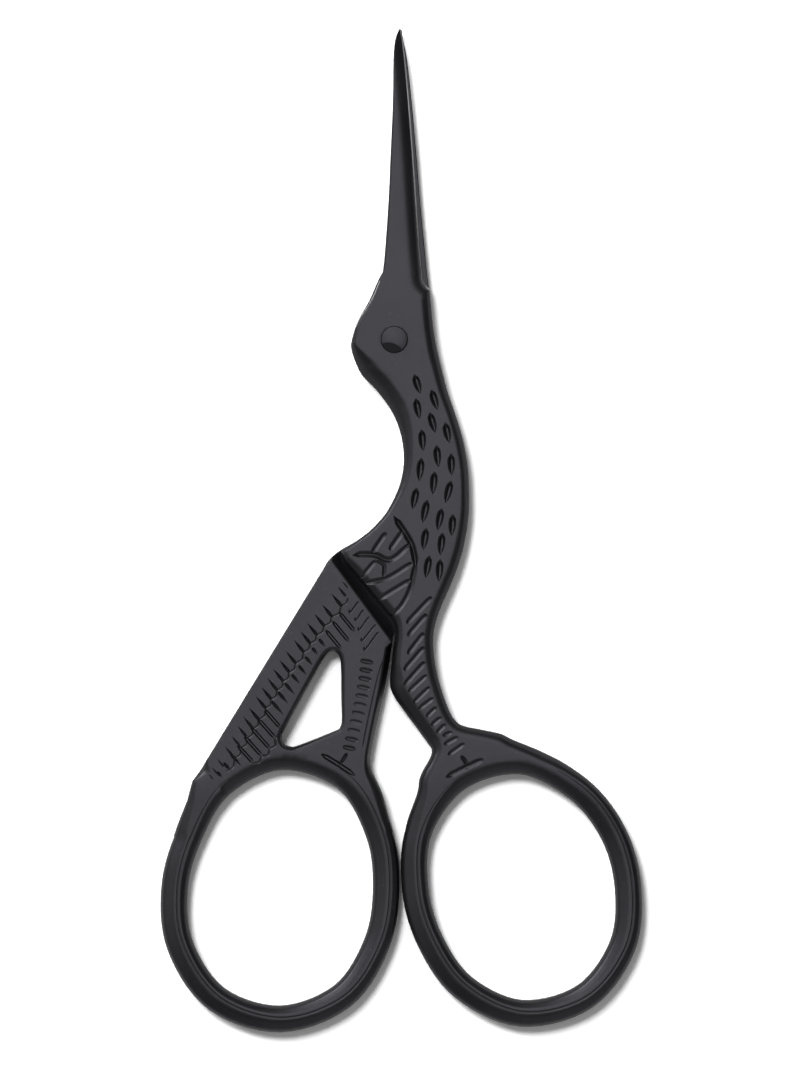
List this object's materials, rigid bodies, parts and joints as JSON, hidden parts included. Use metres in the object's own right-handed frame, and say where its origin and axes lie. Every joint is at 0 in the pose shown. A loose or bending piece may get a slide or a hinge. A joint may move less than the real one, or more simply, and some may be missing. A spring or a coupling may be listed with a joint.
{
  "type": "embroidery scissors",
  "caption": "Stork-shaped embroidery scissors: two black steel halves lapped at the head, turning on one rivet, with fine pointed blades and oval finger bows.",
  "frame": {"origin": "on the pivot axis, at the back face on which the scissors lie", "axes": "+Y from the bows to the tips of the blades, +Z along the pivot axis out of the front face, +X towards the right bow seen from the front"},
  "size_m": [0.055, 0.1146, 0.0042],
  "materials": {
    "black_steel": "satin black coating over forged steel, bare ground steel at the cutting edges and lapped faces",
    "black_rivet": "satin black coating over a steel rivet"
  },
  "bodies": {
    "back_lever": {"back_half": "black_steel", "pivot_rivet": "black_rivet"},
    "front_lever": {"front_half": "black_steel"}
  },
  "joints": [
    {"name": "pivot", "type": "hinge", "parent": "back_lever", "child": "front_lever", "pos_m": [0, 0, 0], "axis": [0, 0, 1], "range_deg": [0, 150]}
  ]
}
